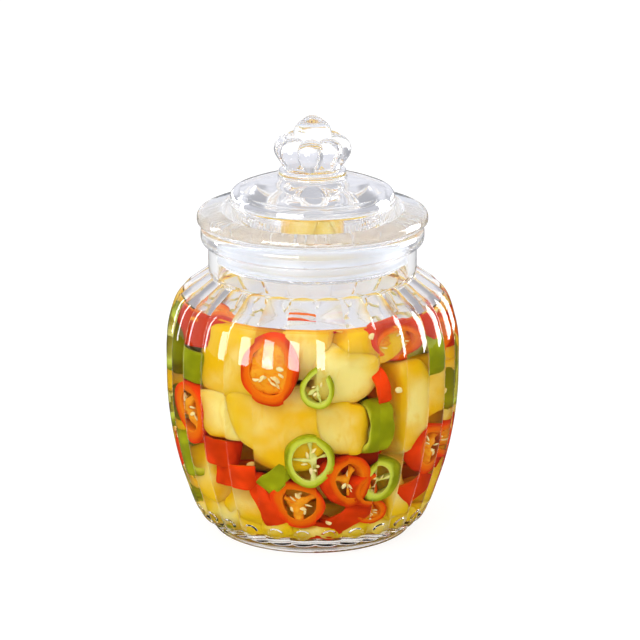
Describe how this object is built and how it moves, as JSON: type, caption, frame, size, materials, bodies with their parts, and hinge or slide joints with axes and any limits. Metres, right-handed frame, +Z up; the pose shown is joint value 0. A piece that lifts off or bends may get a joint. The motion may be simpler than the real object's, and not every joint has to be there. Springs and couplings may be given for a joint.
{
  "type": "lidded glass jar of pickles",
  "caption": "Round gadrooned glass jar with a crown-knobbed stopper lid and silicone seal, filled to the shoulder with golden brine and sunk pickle pieces.",
  "frame": {"origin": "centre of the foot ring, on the surface the jar stands on", "axes": "+Z up along the jar's axis to the knob, front towards -Y"},
  "size_m": [0.1302, 0.1302, 0.187],
  "materials": {
    "jar_glass": "clear polished",
    "lid_glass": "clear polished",
    "seal_silicone": "clear satin silicone",
    "brine": "clear golden liquid with pickle pieces"
  },
  "bodies": {
    "root": {"jar": "jar_glass", "lid": "lid_glass", "seal": "seal_silicone", "brine": "brine"}
  },
  "joints": []
}
